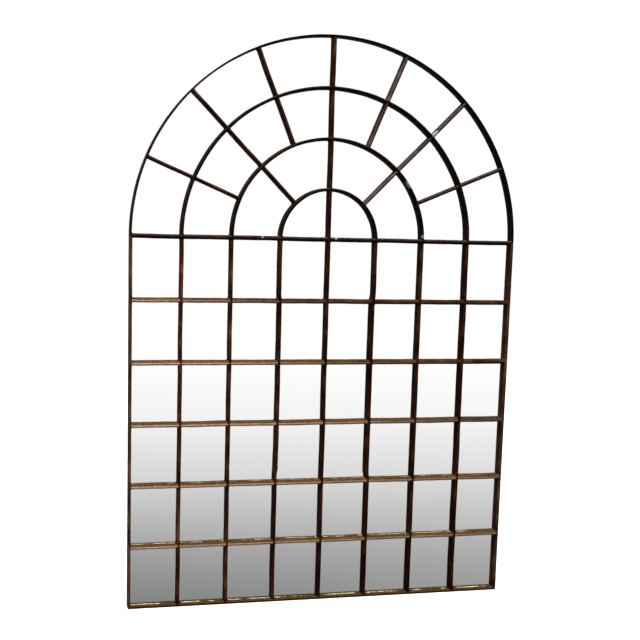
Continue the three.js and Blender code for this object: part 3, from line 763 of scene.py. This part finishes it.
# %% Find the inside corners
def corners(x, z, across, along, turn=0.0):
    """Corner points round (x, z), at the given half sizes, turned clockwise by an angle."""
    points = np.array([(a, b) for a in across for b in along], float)
    cos, sin = math.cos(turn), math.sin(turn)
    return points @ np.array([[cos, -sin], [sin, cos]]) + [x, z]


half, tall, inside = UPRIGHT / 2, CROSSBAR / 2, RIM - FACE
columns = [k * PITCH_X for k in range(-3, 4)]
spots = [corners(x, z, (-half, half), (-tall, tall)) for x in columns for z in ROWS]
spots += [corners(x, SPRING, (-half, half), (-tall, tall)) for x in columns]
spots += [corners(x, FACE, (-half, half), (0,)) for x in columns]
spots += [corners(x, z, (0,), (-tall, tall)) for x in (-inside, inside) for z in ROWS + [SPRING]]
for angle, start in FAN + [(0, 0)]:
    turn = math.radians(angle)
    out = np.array([math.sin(turn), math.cos(turn)])
    for n in range(max(start, 1), 4):
        side = (half,) if n == start else (-half, half)
        spots.append(corners(*(out * n * PITCH_X + [0, SPRING]), (-half, half), side, turn))
    spots.append(corners(*(out * (RIM - ARCH_FACE) + [0, SPRING]), (-half, half), (0,), turn))
spots = np.concatenate(spots)
print("inside corners:", len(spots))

# %% Fill them with beads
BEAD, BEAD_FRONT, BEAD_BACK = 0.0022, 0.0055, 0.0195  # radius, and depths of its two ends
DRIFT = 0.0003  # how far a ring strays from the corner
RINGS, SIDES = 7, 8
rng = np.random.default_rng(7)
t = np.linspace(0, 2 * math.pi, SIDES, endpoint=False)
depth = np.linspace(BEAD_FRONT, BEAD_BACK, RINGS)
radius = BEAD * rng.uniform(0.75, 1.15, (len(spots), RINGS))
radius[:, 0] *= 0.5  # the front end is drawn out
drift = rng.normal(0, DRIFT, (len(spots), RINGS, 2))
points = np.empty((len(spots), RINGS, SIDES, 3))
points[..., 0] = (spots[:, None, 0] + drift[..., 0])[..., None] + radius[..., None] * np.cos(t)
points[..., 1] = FRONT + depth[:, None]
points[..., 2] = (spots[:, None, 1] + drift[..., 1])[..., None] + radius[..., None] * np.sin(t)
index = np.arange(points[..., 0].size).reshape(len(spots), RINGS, SIDES)
turned = np.roll(index, -1, 2)
quads = np.stack([index[:, :-1], turned[:, :-1], turned[:, 1:], index[:, 1:]], -1).reshape(-1, 4)
caps = index[:, 0, ::-1].tolist() + index[:, -1].tolist()
mesh = bpy.data.meshes.new("weld_beads")
mesh.from_pydata(points.reshape(-1, 3).tolist(), [], quads.tolist() + caps)
crest = np.tile(np.repeat(1 - depth / BAR_DEPTH, SIDES), len(spots))
beads = dress("weld_beads", mesh, crest, welded_steel)
print("beads:", len(spots), "faces:", len(mesh.polygons))

# %% [markdown]
# ## Hanging rings
# Each ring is one wire bent to a D, with its ends butted inside the rolled eye. It turns about the
# eye, so it rides on a moving body of its own.

# %% Bend the rings
WIRE, BEND, ROUND = 0.002, 0.004, 0.015  # radii of the wire, of a corner and of the D
LEG = 0.006  # how far below the eye the half circle starts
MIDWAY = 0.006  # a place on the straight stretch, between the butted end and the corner


def ring_path(x, z):
    """The wire's centre line: the eye's axis, a quarter circle, a short leg and a half circle.

    The right half is worked out, and the left half is the same points with X reversed.
    """
    t = np.linspace(0, math.pi / 2, 9)[1:]
    straight = ROUND - BEND
    corner = np.stack([straight + BEND * np.sin(t), BEND * np.cos(t) - BEND], -1)
    bow = np.stack([ROUND * np.cos(2 * t), -LEG - ROUND * np.sin(2 * t)], -1)[:3]
    half_way = np.concatenate([[(GAP / 2, 0), (MIDWAY, 0), (straight, 0)], corner,
                               [(ROUND, -LEG)], bow, [(0, -LEG - ROUND)]])
    whole = np.concatenate([half_way, half_way[-2::-1] * [-1, 1]])
    tangent = np.gradient(whole, axis=0)
    tangent /= np.linalg.norm(tangent, axis=1)[:, None]
    return whole + [x, z], np.stack([tangent[:, 1], -tangent[:, 0]], -1)


joints = {row["child"]: Vector(row["pos_m"]) for row in frame["record"]["behaviour"]["joints"]}
for side in ("left", "right"):
    pivot = joints[f"{side}_ring"]
    across, depth, crest = ring_of_wire(WIRE)
    centre, sideways = ring_path(pivot.x, pivot.z)
    points = carry(centre, sideways, across, depth, pivot.y)
    ring = grid_mesh(f"{side}_ring_wire", points, crest, bright_zinc, f"{side}_ring")
    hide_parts(f"{side}_hanging_ring")
    print(f"{side} ring turns about (mm):", [round(1000 * v, 1) for v in pivot])

# %% [markdown]
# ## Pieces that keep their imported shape
# Glass, board, blocks, straps, plates, clips and screws are flat or turned stock, which the solids
# already show exactly. They only need a material: bar stock gets the dull zinc, and bought
# fittings the bright one.

# %% Give the rest its materials
slots = {"patinated_steel": steel, "silvered_glass": silver, "fibreboard": board,
         "zinc_plated_steel": zinc, "setting_rubber": rubber}
FITTINGS = ("clip", "screw", "hanger")
kept = 0
for row in frame["record"]["subparts"]:
    node = frame["nodes"][row["node"]]
    if node.hide_render:
        continue
    small = any(word in row["node"] for word in FITTINGS)
    node.data.materials.clear()
    node.data.materials.append(bright_zinc if small else slots[row["material_slot"]])
    kept += 1
print("pieces that keep their packed shape:", kept)
